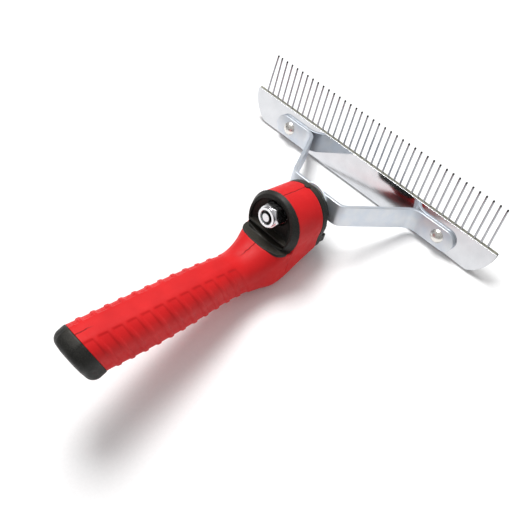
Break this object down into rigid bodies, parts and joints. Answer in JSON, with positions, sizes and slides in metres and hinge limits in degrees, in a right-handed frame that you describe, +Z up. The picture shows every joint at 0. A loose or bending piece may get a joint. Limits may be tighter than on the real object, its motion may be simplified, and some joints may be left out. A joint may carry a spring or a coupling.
{
  "type": "undercoat rake",
  "caption": "Swivel-head undercoat rake: straight rounded pins in a folded metal spine, on a riveted bent yoke, bolted to a cranked soft-grip handle.",
  "frame": {"origin": "on the floor the rake lies on, below the middle of its overall length and width", "axes": "+Z up as the rake lies on a floor, +Y along the comb, +X from the handle towards the comb"},
  "size_m": [0.2098, 0.181, 0.0681],
  "materials": {
    "hard_black": "fine-textured hard plastic",
    "soft_red": "satin soft-touch moulding",
    "zinc_plate": "bright bluish zinc plate",
    "chrome_plate": "polished chrome",
    "bar_grey": "matt grey-olive",
    "pin_steel": "drawn and polished steel",
    "nylon": "natural nylon"
  },
  "bodies": {
    "handle": {"handle_core": "hard_black", "grip_cover": "soft_red", "index_ring": "hard_black", "rear_cup": "hard_black", "butt_cap": "hard_black", "pivot_bush": "hard_black"},
    "head": {"yoke_strap": "zinc_plate", "spine_shell": "chrome_plate", "pin_bar": "bar_grey", "comb_pins": "pin_steel", "rivet_left": "zinc_plate", "rivet_right": "zinc_plate", "swivel_bolt": "zinc_plate", "seat_washer": "nylon", "disc_spring": "pin_steel", "cup_washer": "pin_steel", "lock_nut": "chrome_plate", "nut_insert": "nylon"}
  },
  "joints": [
    {"name": "head_swivel", "type": "hinge", "parent": "handle", "child": "head", "pos_m": [0.05037, 0, 0.02604], "axis": [0.9092, 0, -0.4163], "continuous": true}
  ]
}
